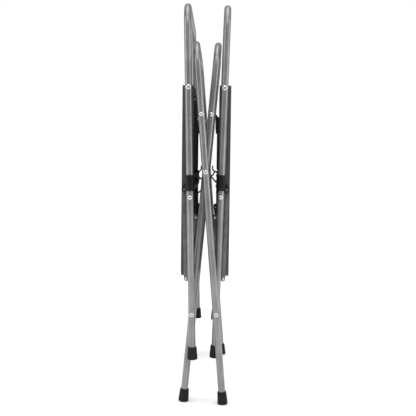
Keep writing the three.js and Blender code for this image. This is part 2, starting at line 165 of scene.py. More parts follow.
CROSS_LAYER = {"inner": INNER_LAYER, "outer": OUTER_LAYER}
ENDS = {"front": Matrix.Identity(4), "back": Matrix.Scale(-1, 4, (0, 1, 0))}


def knee_of(side):
    """The middle of a stay's knee at rest, in metres."""
    low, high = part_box(side + "_knee_rivet_front")
    middle = (low + high) / 2
    return Vector((middle.x, 0, middle.z))


# ---- Materials ----
def linear(hex_colour):
    """An sRGB hex colour as linear red, green, blue and alpha."""
    channels = [int(hex_colour[i : i + 2], 16) / 255 for i in (1, 3, 5)]
    return [c / 12.92 if c <= 0.04045 else ((c + 0.055) / 1.055) ** 2.4 for c in channels] + [1.0]


def put(tree, kind, sockets=None, **settings):
    """Adds a shader node. A socket gets a value, or a link where an output is given."""
    new = tree.nodes.new("ShaderNode" + kind)
    for name, value in settings.items():
        setattr(new, name, value)
    for socket, value in (sockets or {}).items():
        if isinstance(value, bpy.types.NodeSocket):
            tree.links.new(value, new.inputs[socket])
        else:
            new.inputs[socket].default_value = value
    return new


def begin(name):
    """A new material's node tree and its Object coordinates."""
    made = bpy.data.materials.new(name)
    made.use_nodes = True
    made.node_tree.nodes.clear()
    return made, made.node_tree, put(made.node_tree, "TexCoord").outputs["Object"]


def ramp(tree, factor, low, high, start=0.35, end=0.65):
    """A colour between two, by a factor."""
    new = put(tree, "ValToRGB", {"Fac": factor})
    new.color_ramp.elements[0].position = start
    new.color_ramp.elements[0].color = linear(low)
    new.color_ramp.elements[1].position = end
    new.color_ramp.elements[1].color = linear(high)
    return new.outputs["Color"]


def finish_shader(tree, sockets):
    """The principled shader and the output that every material ends with."""
    shader = put(tree, "BsdfPrincipled", sockets)
    put(tree, "OutputMaterial", {"Surface": shader.outputs["BSDF"]})


def silver_powder_coat():
    # Drawn steel tube with a silver-grey polyester powder coat: a soft metallic sheen from its flake,
    # a faint orange peel, and long draw lines that show through.
    made, tree, place = begin("silver_powder_coated_steel_tube")
    along = put(tree, "Mapping", {"Vector": place, "Scale": (1, 1, 0.02)}).outputs["Vector"]
    lines = put(tree, "TexNoise", {"Vector": along, "Scale": 1 / (3 * MM), "Detail": 4}).outputs["Fac"]
    flake = put(tree, "TexNoise", {"Vector": place, "Scale": 1 / (0.6 * MM), "Detail": 2}).outputs["Fac"]
    cloud = put(tree, "TexNoise", {"Vector": place, "Scale": 1 / (45 * MM), "Detail": 3}).outputs["Fac"]
    blend = put(tree, "Math", {0: lines, 1: flake}, operation="ADD").outputs[0]
    blend = put(tree, "Math", {0: blend, 1: cloud}, operation="ADD").outputs[0]
    mean = put(tree, "Math", {0: blend, 1: 1 / 3}, operation="MULTIPLY").outputs[0]
    colour = ramp(tree, mean, "#797a7b", "#8f9091", 0.42, 0.58)
    rough = put(tree, "MapRange", {"Value": mean, "To Min": 0.3, "To Max": 0.42}).outputs["Result"]
    peel = put(tree, "TexNoise", {"Vector": place, "Scale": 1 / (2.2 * MM), "Detail": 1}).outputs["Fac"]
    bump = put(tree, "Bump", {"Height": peel, "Strength": 0.25, "Distance": 0.03 * MM}).outputs["Normal"]
    sockets = {"Base Color": colour, "Roughness": rough, "Metallic": 0.75, "Normal": bump}
    finish_shader(tree, {**sockets, "Coat Weight": 0.15, "Coat Roughness": 0.3})
    return made


def bright_zinc():
    # Steel rivets and rods, zinc plated bright: mirror-like with a slight blur and fine tumbling marks.
    made, tree, place = begin("bright_zinc_plated_steel")
    marks = put(tree, "TexNoise", {"Vector": place, "Scale": 1 / (0.8 * MM), "Detail": 5}).outputs["Fac"]
    colour = ramp(tree, marks, "#a9abad", "#c6c8ca")
    rough = put(tree, "MapRange", {"Value": marks, "To Min": 0.12, "To Max": 0.24}).outputs["Result"]
    bump = put(tree, "Bump", {"Height": marks, "Strength": 0.15, "Distance": 0.02 * MM}).outputs["Normal"]
    finish_shader(tree, {"Base Color": colour, "Roughness": rough, "Metallic": 1.0, "Normal": bump})
    return made


def moulded_nylon():
    # Black glass-filled nylon 6, injection moulded: satin, with a light cloud of flow marks and fine grain.
    made, tree, place = begin("black_moulded_nylon")
    flow = put(tree, "TexNoise", {"Vector": place, "Scale": 1 / (9 * MM), "Detail": 3}).outputs["Fac"]
    grain = put(tree, "TexNoise", {"Vector": place, "Scale": 1 / (0.5 * MM), "Detail": 2}).outputs["Fac"]
    colour = ramp(tree, flow, "#0c0c0d", "#131314")
    rough = put(tree, "MapRange", {"Value": flow, "To Min": 0.4, "To Max": 0.55}).outputs["Result"]
    bump = put(tree, "Bump", {"Height": grain, "Strength": 0.35, "Distance": 0.03 * MM}).outputs["Normal"]
    sockets = {"Base Color": colour, "Roughness": rough, "Normal": bump, "Specular IOR Level": 0.18}
    finish_shader(tree, sockets)
    return made


def moulded_rubber():
    # Black rubber, compression moulded: dull, with a coarse matte skin and a grey bloom in places.
    made, tree, place = begin("black_moulded_rubber")
    bloom = put(tree, "TexNoise", {"Vector": place, "Scale": 1 / (7 * MM), "Detail": 5}).outputs["Fac"]
    skin = put(tree, "TexNoise", {"Vector": place, "Scale": 1 / (0.9 * MM), "Detail": 3}).outputs["Fac"]
    colour = ramp(tree, bloom, "#0d0d0e", "#1c1c1d")
    bump = put(tree, "Bump", {"Height": skin, "Strength": 0.5, "Distance": 0.08 * MM}).outputs["Normal"]
    sockets = {"Base Color": colour, "Roughness": 0.72, "Normal": bump, "Specular IOR Level": 0.25}
    finish_shader(tree, sockets)
    return made


def grained_polypropylene():
    # Charcoal polypropylene, injection moulded in a spark-eroded tool: an even pebbled grain, drawn a
    # little coarser than the real 0.4 mm so that it shows, with slightly polished high spots.
    made, tree, place = begin("charcoal_grained_polypropylene")
    cells = put(tree, "TexVoronoi", {"Vector": place, "Scale": 1 / (0.9 * MM)}, feature="SMOOTH_F1")
    pebble = cells.outputs["Distance"]
    haze = put(tree, "TexNoise", {"Vector": place, "Scale": 1 / (60 * MM), "Detail": 4}).outputs["Fac"]
    colour = ramp(tree, haze, "#313233", "#3c3d3e")
    rough = put(tree, "MapRange", {"Value": pebble, "To Min": 0.42, "To Max": 0.6}).outputs["Result"]
    bump = put(tree, "Bump", {"Height": pebble, "Strength": 0.4, "Distance": 0.1 * MM}).outputs["Normal"]
    sockets = {"Base Color": colour, "Roughness": rough, "Normal": bump, "IOR": 1.49}
    finish_shader(tree, sockets)
    return made


def grey_enamelled_steel():
    # Flat steel bar in a dark grey stoving enamel over the rolled surface: semi-gloss, with fine rolling
    # lines along it and thin, lighter rubbed patches.
    made, tree, place = begin("grey_enamelled_steel_bar")
    along = put(tree, "Mapping", {"Vector": place, "Scale": (1, 1, 0.05)}).outputs["Vector"]
    rolled = put(tree, "TexNoise", {"Vector": along, "Scale": 1 / (0.8 * MM), "Detail": 4}).outputs["Fac"]
    rubbed = put(tree, "TexNoise", {"Vector": place, "Scale": 1 / (14 * MM), "Detail": 6}).outputs["Fac"]
    mean = put(tree, "Math", {0: rolled, 1: rubbed}, operation="MULTIPLY").outputs[0]
    colour = ramp(tree, mean, "#565758", "#747577", 0.15, 0.4)
    rough = put(tree, "MapRange", {"Value": rubbed, "To Min": 0.3, "To Max": 0.5}).outputs["Result"]
    bump = put(tree, "Bump", {"Height": rolled, "Strength": 0.2, "Distance": 0.02 * MM}).outputs["Normal"]
    finish_shader(tree, {"Base Color": colour, "Roughness": rough, "Metallic": 0.6, "Normal": bump})
    return made


def acetal_washer():
    # Off-white acetal, turned: smooth, faintly waxy, with a hint of the turning rings.
    made, tree, place = begin("natural_acetal")
    rings = put(tree, "TexNoise", {"Vector": place, "Scale": 1 / (1.2 * MM), "Detail": 2}).outputs["Fac"]
    colour = ramp(tree, rings, "#8f8f8c", "#a3a3a0")
    bump = put(tree, "Bump", {"Height": rings, "Strength": 0.1, "Distance": 0.02 * MM}).outputs["Normal"]
    sockets = {"Base Color": colour, "Roughness": 0.4, "Normal": bump, "IOR": 1.48}
    finish_shader(tree, sockets)
    return made


STEEL_TUBE = silver_powder_coat()
ZINC = bright_zinc()
NYLON = moulded_nylon()
RUBBER = moulded_rubber()
TRAY_PLASTIC = grained_polypropylene()
STAY_STEEL = grey_enamelled_steel()
ACETAL = acetal_washer()


# ---- Modelling by hand ----
def add(primitive, **settings):
    """A new primitive on its own, with its place in its mesh, in edit mode and selected all over."""
    if bpy.context.mode != "OBJECT":
        bpy.ops.object.mode_set(mode="OBJECT")
    bpy.ops.object.select_all(action="DESELECT")
    primitive(**settings)
    bpy.ops.object.transform_apply(location=True, rotation=True, scale=True)
    bpy.ops.object.mode_set(mode="EDIT")
    bpy.ops.mesh.select_all(action="SELECT")
    return bpy.context.object


def block(low, high):
    """A cube stretched between two corners, in edit mode."""
    middle = [(a + b) / 2 for a, b in zip(low, high)]
    cube = add(bpy.ops.mesh.primitive_cube_add, size=1, location=middle)
    size = [b - a for a, b in zip(low, high)]
    bpy.ops.transform.resize(value=size, center_override=middle)
    return cube


def pick(piece, kind, test):
    """Selects the vertices, edges or faces whose middle and direction pass a test, in edit mode."""
    bpy.context.view_layer.objects.active = piece
    bpy.ops.object.mode_set(mode="EDIT")
    bpy.ops.mesh.select_mode(type=kind)
    bpy.ops.mesh.select_all(action="DESELECT")
    bpy.ops.object.mode_set(mode="OBJECT")
    mesh = piece.data
    points = [v.co for v in mesh.vertices]
    if kind == "VERT":
        for vertex in mesh.vertices:
            vertex.select = test(vertex.co, vertex.normal)
    elif kind == "EDGE":
        for edge in mesh.edges:
            a, b = (points[i] for i in edge.vertices)
            edge.select = test((a + b) / 2, (b - a).normalized())
    else:
        for face in mesh.polygons:
            face.select = test(face.center, face.normal)
    bpy.ops.object.mode_set(mode="EDIT")


def draw_out(x, y, z):
    """Extrudes the selected faces."""
    bpy.ops.mesh.extrude_region_move(TRANSFORM_OT_translate={"value": (x, y, z)})


def draw_edges(x, y, z):
    """Extrudes the selected edges."""
    bpy.ops.mesh.extrude_edges_move(TRANSFORM_OT_translate={"value": (x, y, z)})


def face_out(piece):
    """Turns every face of a closed shape outwards, after its doubles are merged."""
    bpy.ops.mesh.select_all(action="SELECT")
    bpy.ops.mesh.remove_doubles(threshold=0.001)
    bpy.ops.mesh.normals_make_consistent(inside=False)


def modify(piece, kind, **settings):
    """Adds a modifier and applies it."""
    if bpy.context.mode != "OBJECT":
        bpy.ops.object.mode_set(mode="OBJECT")
    bpy.context.view_layer.objects.active = piece
    modifier = piece.modifiers.new(kind.lower(), kind)
    for name, value in settings.items():
        setattr(modifier, name, value)
    bpy.ops.object.modifier_apply(modifier=modifier.name)


def combine(piece, other, operation):
    """Joins another shape to a piece, or cuts it away, and removes it."""
    modify(piece, "BOOLEAN", object=other, operation=operation, solver="EXACT")
    bpy.data.objects.remove(other)


def round_off(piece, material, width=0.0, segments=2):
    """Breaks a piece's sharp edges, smooths it and gives it its material."""
    if width:
        limits = {"limit_method": "ANGLE", "angle_limit": math.radians(35)}
        modify(piece, "BEVEL", width=width, segments=segments, **limits)
    if bpy.context.mode != "OBJECT":
        bpy.ops.object.mode_set(mode="OBJECT")
    bpy.ops.object.select_all(action="DESELECT")
    piece.select_set(True)
    bpy.context.view_layer.objects.active = piece
    bpy.ops.object.shade_smooth_by_angle(angle=math.radians(38))
    piece.data.materials.clear()
    piece.data.materials.append(material)
    return piece


def fit(model, name, place, body, slot, *nodes):
    """A copy of a model in its place, riding on its body and standing for its CAD nodes."""
    piece = model.copy()
    piece.data = model.data.copy()
    bpy.context.collection.objects.link(piece)
    piece.name = name
    piece.data.name = name
    piece.data.transform(place @ Matrix.Scale(MM, 4))
    if place.determinant() < 0:
        piece.data.flip_normals()
    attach(piece, body)
    if nodes:
        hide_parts(*nodes)
    return piece


def fit_pair(model, name, place, body, slot, node=None):
    """Front and back copies of a model. Where a CAD pair is named, they stand for it."""
    for end, mirror in ENDS.items():
        nodes = [node + "_" + end] if node else []
        fit(model, name + "_" + end, place @ mirror, body, slot, *nodes)


def put_away(*models):
    """Removes models whose copies are all in place."""
    for model in models:
        bpy.data.objects.remove(model)


# ---- Bent tubes ----
def bent_hoop(layer, leg_end, top, pin_heights):
    """Hollow tube bent to an upside-down U, with its pin holes drilled through both legs."""
    turn = layer - BEND_RADIUS
    shoulder = top - BEND_RADIUS
    start = (0, -layer, leg_end)
    hoop = add(bpy.ops.mesh.primitive_circle_add, vertices=TUBE_FACETS, radius=TUBE_RADIUS, location=start)
    bend = {"steps": BEND_STEPS, "angle": math.pi / 2, "axis": (1, 0, 0)}
    draw_edges(0, 0, shoulder - leg_end)
    bpy.ops.mesh.spin(center=(0, -turn, shoulder), **bend)
    draw_edges(0, 2 * turn, 0)
    bpy.ops.mesh.spin(center=(0, turn, shoulder), **bend)
    draw_edges(0, 0, leg_end - shoulder)
    for height in pin_heights:  # short faces round each hole keep the long ones smooth
        for edge in (height - PIN_RADIUS - 3, height + PIN_RADIUS + 3):
            bpy.ops.mesh.select_all(action="SELECT")
            bpy.ops.mesh.bisect(plane_co=(0, 0, edge), plane_no=(0, 0, 1))
    face_out(hoop)
    modify(hoop, "SOLIDIFY", thickness=TUBE_WALL, offset=-1)
    for height in pin_heights:
        turned = {"rotation": (math.pi / 2, 0, 0), "location": (0, 0, height), "vertices": 24}
        drill = add(bpy.ops.mesh.primitive_cylinder_add, radius=PIN_RADIUS + 0.2, depth=3 * layer, **turned)
        combine(hoop, drill, "DIFFERENCE")
    return round_off(hoop, STEEL_TUBE)


def fit_hoops():
    for side, place in SIDE.items():
        heights = [0, COLLAR_RIVET, TRAY_PIVOT_HEIGHT]
        hoop = bent_hoop(SIDE_LAYER[side], SIDE_FOOT + FOOT_FLOOR, SIDE_TOP, heights)
        fit(hoop, side + "_side_hoop", place, side + "_frame", "tube_steel", side + "_frame_tube")
        put_away(hoop)
    for name, place in CROSS.items():
        heights = [0, CROSSING_HEIGHT, CROSSING_HEIGHT + ROD_ABOVE_CROSSING]
        hoop = bent_hoop(CROSS_LAYER[name], CROSS_FOOT + FOOT_FLOOR, CROSS_TOP, heights)
        fit(hoop, name + "_cross_hoop", place, name + "_cross", "tube_steel", name + "_cross_frame_tube")
        put_away(hoop)


# ---- Rubber feet ----
def rubber_foot():
    """Flared cup for a leg end, with a rounded tread edge and a hollow under it. z = 0 is its underside."""
    middle = (0, 0, FOOT_HEIGHT / 2)
    foot = add(
        bpy.ops.mesh.primitive_cylinder_add,
        vertices=TUBE_FACETS,
        radius=FOOT_BOTTOM_RADIUS,
        depth=FOOT_HEIGHT,
        location=middle,
    )
    pick(foot, "FACE", lambda at, way: way.z > 0.9)
    shrink = FOOT_TOP_RADIUS / FOOT_BOTTOM_RADIUS
    bpy.ops.transform.resize(value=(shrink, shrink, 1), center_override=(0, 0, FOOT_HEIGHT))
    bpy.ops.mesh.inset(thickness=FOOT_TOP_RADIUS - FOOT_BORE)
    draw_out(0, 0, FOOT_FLOOR - FOOT_HEIGHT)
    pick(foot, "FACE", lambda at, way: way.z < -0.9 and at.z < 1)
    bpy.ops.mesh.inset(thickness=4.2)
    bpy.ops.mesh.inset(thickness=0.6, depth=-1.4)
    bpy.ops.mesh.inset(thickness=2.2)
    bpy.ops.mesh.inset(thickness=0.5, depth=1.0)
    rim = FOOT_BOTTOM_RADIUS - 0.5
    pick(foot, "EDGE", lambda at, way: at.z < 0.1 and math.hypot(at.x, at.y) > rim)
    bpy.ops.mesh.bevel(offset=2.6, segments=5, affect="EDGES")
    lip = FOOT_TOP_RADIUS - 0.5
    pick(foot, "EDGE", lambda at, way: at.z > FOOT_HEIGHT - 0.1 and math.hypot(at.x, at.y) > lip)
    bpy.ops.mesh.bevel(offset=0.9, segments=3, affect="EDGES")
    return round_off(foot, RUBBER)


def fit_feet():
    foot = rubber_foot()
    legs = [(s + "_frame", SIDE[s], SIDE_LAYER[s], SIDE_FOOT, s + "_frame") for s in SIDE]
    legs += [(n + "_cross", CROSS[n], CROSS_LAYER[n], CROSS_FOOT, n + "_cross_frame") for n in CROSS]
    for name, place, layer, underside, node in legs:
        for end, mirror in ENDS.items():
            stand = place @ mirror @ Matrix.Translation(Vector((0, -layer, underside)) * MM)
            fit(foot, f"{name}_rubber_foot_{end}", stand, name, "foot_rubber", f"{node}_foot_{end}")
    put_away(foot)


# ---- Rivets, pins and washers ----
def domed_rivet(head, height, shank, length, tail=0.0, tail_height=0.0, material=ZINC):
    """A rivet along +Y. The flat of its domed head is at y = 0, and its tail may be clenched to a dish."""
    curve = (head**2 + height**2) / (2 * height)
    rivet = add(
        bpy.ops.mesh.primitive_uv_sphere_add,
        segments=32,
        ring_count=40,
        radius=curve,
        rotation=(math.pi / 2, 0, 0),
        location=(0, curve - height, 0),
    )
    bpy.ops.mesh.bisect(plane_co=(0, 0, 0), plane_no=(0, 1, 0), use_fill=True, clear_outer=True)
    pick(rivet, "FACE", lambda at, way: way.y > 0.9)
    draw_out(0, 0.3, 0)
    bpy.ops.mesh.inset(thickness=head - shank)
    draw_out(0, length - 0.3, 0)
    if tail:
        ratio = tail / shank
        bpy.ops.mesh.extrude_region_move()
        bpy.ops.transform.resize(value=(ratio, 1, ratio), center_override=(0, length, 0))
        draw_out(0, tail_height * 0.6, 0)
        bpy.ops.mesh.inset(thickness=tail * 0.3, depth=tail_height * 0.4)
    face_out(rivet)
    return round_off(rivet, material)


def washer(outer, inner, thickness, material):
    """A flat ring along +Y from y = 0, with its corners broken."""
    ring = add(
        bpy.ops.mesh.primitive_cylinder_add,
        vertices=40,
        radius=outer,
        depth=thickness,
        rotation=(math.pi / 2, 0, 0),
        location=(0, thickness / 2, 0),
    )
    pick(ring, "FACE", lambda at, way: abs(way.y) > 0.9)
    bpy.ops.mesh.inset(thickness=outer - inner)
    bpy.ops.mesh.bridge_edge_loops()
    face_out(ring)
    return round_off(ring, material, 0.2, 1)


def spot_at(place, x, depth, z):
    """A place moved to a point beside its leg, in millimetres. Depth runs from the middle to the front."""
    return place @ Matrix.Translation(Vector((x, -depth, z)) * MM)


def fit_pins():
    """The pivots and rivets that go through the tubes, and the washers between them."""
    outer_face = OUTER_LAYER + TUBE_RADIUS
    inner_face = INNER_LAYER - TUBE_RADIUS
    between = (OUTER_LAYER + INNER_LAYER) / 2 + 0.65
    through = domed_rivet(HEAD_RADIUS, HEAD_HEIGHT, PIN_RADIUS, outer_face - inner_face, HEAD_RADIUS, 1.6)
    spacer = washer(6.6, PIN_RADIUS + 0.2, 1.3, ACETAL)
    for end, mirror in ENDS.items():
        for side, place in SIDE.items():
            spot = spot_at(place @ mirror, 0, outer_face, 0)
            node = f"{side}_lower_pivot_{end}"
            fit(through, f"{side}_leg_pivot_{end}", spot, side + "_frame", "zinc_rivet", node)
            spot = spot_at(place @ mirror, 0, between, 0)
            fit(spacer, f"{side}_leg_washer_{end}", spot, side + "_frame", "black_nylon")
        spot = spot_at(CROSS["inner"] @ mirror, 0, outer_face, CROSSING_HEIGHT)
        fit(through, f"crossing_rivet_{end}", spot, "inner_cross", "zinc_rivet", f"crossing_pivot_{end}")
        spot = spot_at(CROSS["inner"] @ mirror, 0, between, CROSSING_HEIGHT)
        fit(spacer, f"crossing_washer_{end}", spot, "inner_cross", "black_nylon")
    put_away(through, spacer)


def spreader_rod(layer):
    """A round rod between the legs of a crossing frame, necked to pass the tubes, with domed ends."""
    inner = layer - TUBE_RADIUS
    outer = layer + TUBE_RADIUS
    turned = {"rotation": (math.pi / 2, 0, 0), "vertices": 32}
    rod = add(bpy.ops.mesh.primitive_cylinder_add, radius=HEAD_RADIUS, depth=2 * inner, **turned)
    for way_out in (-1, 1):
        pick(rod, "FACE", lambda at, way: way.y * way_out > 0.9 and at.y * way_out > inner - 1)
        bpy.ops.mesh.inset(thickness=HEAD_RADIUS - PIN_RADIUS)
        draw_out(0, way_out * 2 * TUBE_RADIUS, 0)
    head = domed_rivet(HEAD_RADIUS, HEAD_HEIGHT, PIN_RADIUS - 0.4, TUBE_RADIUS)
    for mirror in ENDS.values():
        cap = head.copy()
        cap.data = head.data.copy()
        bpy.context.collection.objects.link(cap)
        cap.data.transform(mirror @ Matrix.Translation((0, -outer, 0)))
        if mirror.determinant() < 0:
            cap.data.flip_normals()
        combine(rod, cap, "UNION")
    put_away(head)
    return round_off(rod, ZINC)


def fit_rods():
    for name, place in CROSS.items():
        rod = spreader_rod(CROSS_LAYER[name])
        spot = spot_at(place, 0, 0, CROSSING_HEIGHT + ROD_ABOVE_CROSSING)
        node = name + "_cross_frame_stretcher_rod"
        fit(rod, name + "_spreader_rod", spot, name + "_cross", "zinc_rivet", node)
        put_away(rod)


def tray_screw(layer):
    """Shouldered screw that carries a tray: a slotted dome outside, a spacer and a nut inside."""
    outer_face = layer + TUBE_RADIUS
    inner_face = layer - TUBE_RADIUS
    reach = outer_face - TRAY_HALF_WIDTH + TRAY_WALL
    screw = domed_rivet(HEAD_RADIUS + 0.7, HEAD_HEIGHT, PIN_RADIUS, reach, 4.4, 3)
    spacer_middle = (0, outer_face - (inner_face + TRAY_HALF_WIDTH) / 2, 0)
    spacer = add(
        bpy.ops.mesh.primitive_cylinder_add,
        vertices=32,
        radius=HEAD_RADIUS,
        depth=inner_face - TRAY_HALF_WIDTH - 0.4,
        rotation=(math.pi / 2, 0, 0),
        location=spacer_middle,
    )
    bpy.ops.object.mode_set(mode="OBJECT")
    combine(screw, spacer, "UNION")
    slot = block((-7, -HEAD_HEIGHT - 1, -0.7), (7, -HEAD_HEIGHT + 0.9, 0.7))
    bpy.ops.transform.rotate(value=math.radians(-30), orient_axis="Y", center_override=(0, 0, 0))
    bpy.ops.object.mode_set(mode="OBJECT")
    combine(screw, slot, "DIFFERENCE")
    return round_off(screw, ZINC)


def fit_side_rivets():
    """Tray screws and the round-headed rivets under the collars."""
    for side, place in SIDE.items():
        layer = SIDE_LAYER[side]
        screw = tray_screw(layer)
        rivet = domed_rivet(HEAD_RADIUS, HEAD_HEIGHT, PIN_RADIUS, 2 * TUBE_RADIUS, HEAD_RADIUS - 0.6, 1.4)
        for end, mirror in ENDS.items():
            face = layer + TUBE_RADIUS
            spot = spot_at(place @ mirror, 0, face, TRAY_PIVOT_HEIGHT)
            node = f"{side}_tray_bolt_{end}"
            fit(screw, f"{side}_tray_screw_{end}", spot, side + "_frame", "zinc_rivet", node)
            spot = spot_at(place @ mirror, 0, face, COLLAR_RIVET)
            fit(rivet, f"{side}_collar_rivet_{end}", spot, side + "_frame", "zinc_rivet")
        put_away(screw, rivet)


# ---- Collars, latch bars and snap clips ----
def collar(layer, ear_x, ear_z):
    """Sleeve round an upright with a block behind it for the latch bar and an ear for the stay."""
    height = COLLAR_HIGH - COLLAR_LOW
    middle = (0, -layer, (COLLAR_LOW + COLLAR_HIGH) / 2)
    round_bar = {"vertices": TUBE_FACETS, "location": middle}
    sleeve = add(bpy.ops.mesh.primitive_cylinder_add, radius=COLLAR_RADIUS, depth=height, **round_bar)
    bpy.ops.object.mode_set(mode="OBJECT")
    tail = block((-COLLAR_RADIUS, -layer, COLLAR_LOW), (COLLAR_INNER_EDGE, -COLLAR_BACK, COLLAR_HIGH))
    pick(tail, "EDGE", lambda at, way: abs(way.z) > 0.9 and at.y > -COLLAR_BACK - 0.1)
    bpy.ops.mesh.bevel(offset=1.2, segments=3, affect="EDGES")
    bpy.ops.object.mode_set(mode="OBJECT")
    combine(sleeve, tail, "UNION")
    low = (ear_x - EAR_RADIUS, -COLLAR_BACK - EAR_THICKNESS, ear_z - EAR_RADIUS)
    ear = block(low, (0, -COLLAR_BACK, COLLAR_HIGH))
    rise = COLLAR_HIGH - ear_z - EAR_RADIUS - 6
    across = Vector((rise, 0, ear_x)).normalized()  # square to the sloping edge of the ear
    above = (ear_x, 0, ear_z + EAR_RADIUS + 6)
    bpy.ops.mesh.bisect(plane_co=above, plane_no=-across, use_fill=True, clear_outer=True)
    pick(ear, "EDGE", lambda at, way: abs(way.y) > 0.9 and at.x < ear_x - 4 and at.z < ear_z)
    bpy.ops.mesh.bevel(offset=EAR_RADIUS - 0.5, segments=6, affect="EDGES")
    bpy.ops.object.mode_set(mode="OBJECT")
    combine(sleeve, ear, "UNION")
    bore = add(bpy.ops.mesh.primitive_cylinder_add, radius=COLLAR_BORE, depth=2 * height, **round_bar)
    bpy.ops.object.mode_set(mode="OBJECT")
    combine(sleeve, bore, "DIFFERENCE")
    return round_off(sleeve, NYLON, 0.5, 2)


def latch_bar():
    """Flat moulded bar across the frame, with stiffening edges and a recess for the clip's spine."""
    end = COLLAR_BACK - 0.3
    far = LATCH_BAR_START + LATCH_BAR_THICKNESS
    bar = block((LATCH_BAR_START, -end, COLLAR_LOW), (far, end, COLLAR_HIGH))
    for way_out in (-1, 1):
        pick(bar, "FACE", lambda at, way: way.x * way_out > 0.9)
        bpy.ops.mesh.inset(thickness=3.5)
        bpy.ops.mesh.inset(thickness=0.5, depth=-0.6)
    side = CLIP_WIDTH / 2 + 0.3
    recess = block((CLIP_FACE - CLIP_SPINE - 0.3, -side, COLLAR_LOW - 1), (far + 1, side, COLLAR_HIGH + 1))
    bpy.ops.object.mode_set(mode="OBJECT")
    combine(bar, recess, "DIFFERENCE")
    return round_off(bar, NYLON, 0.3, 2)


def ribbon(points, thickness):
    """A smooth strip as wide as a clip, through points beside the upright."""
    line = bpy.data.curves.new("strap", "CURVE")
    line.dimensions = "2D"
    line.resolution_u = 8
    line.extrude = CLIP_WIDTH / 2
    spline = line.splines.new("BEZIER")
    spline.bezier_points.add(len(points) - 1)
    for knot, (x, z) in zip(spline.bezier_points, points):
        knot.co = (x, z, 0)
        knot.handle_left_type = knot.handle_right_type = "AUTO"
    strip = bpy.data.objects.new("strap", line)
    bpy.context.collection.objects.link(strip)
    if bpy.context.mode != "OBJECT":
        bpy.ops.object.mode_set(mode="OBJECT")
    bpy.ops.object.select_all(action="DESELECT")
    strip.select_set(True)
    bpy.context.view_layer.objects.active = strip
    bpy.ops.object.convert(target="MESH")
    strip = bpy.context.object
    strip.data.transform(Matrix.Rotation(math.pi / 2, 4, "X"))
    modify(strip, "SOLIDIFY", thickness=thickness, offset=0)
    return strip


def snap_clip(looped):
    """Sprung clip: a thin spine, a lip that curls up, a round seat, and a closed loop or a straight prop."""
    base = CLIP_FACE - CLIP_SPINE / 2
    lip = [(base, 318.5), (17, 321), (21.2, 325.5), (21.8, 334.5)]
    if looped:
        seat = [(17, 321), (14.2, 314.5), (14.8, 307), (18.4, 302.8)]
        arm = [(base, 292), (13, 299.6), (18.4, 302.8), (24.2, 297.5)]
        arm += [(24, 285), (19.6, 271.3), (base, 264.8)]
    else:
        seat = [(16.4, 321), (17.8, 316), (21, 311.3), (25.8, 307.4)]
        arm = [(25.8, 308.2), (base, 291.5)]
    clip = ribbon([(base, 263.5), (base, 320)], CLIP_SPINE)
    for strip in (lip, seat, arm):
        combine(clip, ribbon(strip, CLIP_STRAP), "UNION")
    return round_off(clip, NYLON, 0.4, 2)


def fit_latches():
    """Collars, latch bars, clips and the small rivets that hold the clips."""
    outer_face = {"left": LATCH_BAR_START, "right": CLIP_FACE}  # where the heads of the clip rivets sit
    grip = CLIP_FACE - LATCH_BAR_START - 0.4
    for side, place in SIDE.items():
        body = side + "_frame"
        stay = place.inverted() @ STAY_PIVOT[side] / MM
        sleeve = collar(SIDE_LAYER[side], stay.x, stay.z)
        fit_pair(sleeve, side + "_nylon_collar", place, body, "black_nylon", side + "_collar")
        bar = latch_bar()
        fit(bar, side + "_latch_rail", place, body, "black_nylon", side + "_latch_bar")
        clip = snap_clip(side == "left")
        fit(clip, side + "_spring_clip", place, body, "black_nylon", side + "_snap_clip")
        stud = domed_rivet(2.6, 1.8, 1.4, grip)
        quarter = Matrix.Rotation(-INBOARD[side] * math.pi / 2, 4, "Z")
        for number, height in enumerate(CLIP_RIVETS, 1):
            spot = spot_at(place, outer_face[side], 0, height) @ quarter
            fit(stud, f"{side}_clip_rivet_{number}", spot, body, "zinc_rivet")
        small = domed_rivet(2.1, 1.7, 1.2, 3)
        inward = Matrix.Rotation(math.pi / 2, 4, "Z")
        for end, mirror in ENDS.items():
            for number, height in enumerate(COLLAR_STUDS, 1):
                spot = spot_at(place @ mirror, COLLAR_INNER_EDGE, COLLAR_BACK + 6, height) @ inward
                fit(small, f"{side}_collar_stud_{number}_{end}", spot, body, "zinc_rivet")
        put_away(sleeve, bar, clip, stud, small)


